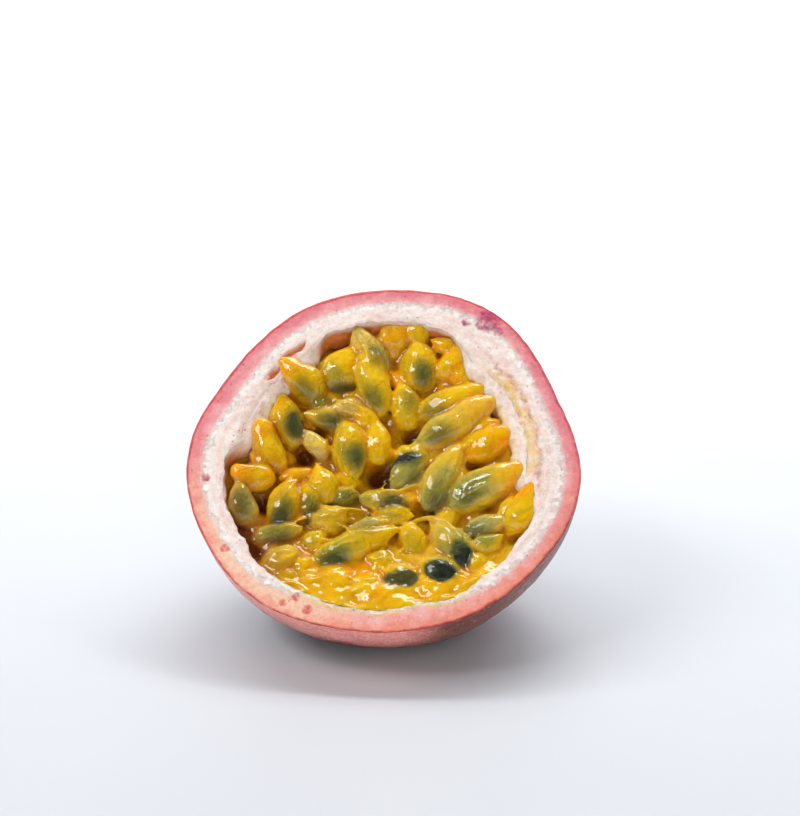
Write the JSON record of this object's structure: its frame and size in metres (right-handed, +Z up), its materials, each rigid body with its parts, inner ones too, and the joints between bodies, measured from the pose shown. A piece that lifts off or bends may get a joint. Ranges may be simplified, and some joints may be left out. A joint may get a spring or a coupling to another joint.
{
  "type": "passion fruit half",
  "caption": "Passion fruit cut in half across its middle: a thick rind with a pink and white cut ring, filled with juicy yellow sacs round dark seeds, leaning on its skin.",
  "frame": {"origin": "on the ground, under the middle of the half's bounding box", "axes": "+Z up, +X along the widest side, to the right as seen from the front; the cut face is turned up and to -Y, 41 degrees from level"},
  "size_m": [0.062, 0.0538, 0.0494],
  "materials": {
    "rind": "maroon skin with fine pale freckles, satin; the cut shows a pink layer, white pith and cream pads",
    "pulp": "wet, glossy, translucent yellow and orange juice sacs, green-grey where a seed lies inside",
    "seed": "wet, hard, nearly black with fine pits"
  },
  "bodies": {
    "root": {"rind": "rind", "pulp": "pulp", "seed_01": "seed", "seed_02": "seed", "seed_03": "seed", "seed_04": "seed", "seed_05": "seed", "seed_06": "seed", "seed_07": "seed", "seed_08": "seed", "seed_09": "seed", "seed_10": "seed", "seed_11": "seed", "seed_12": "seed", "seed_13": "seed"}
  },
  "joints": []
}
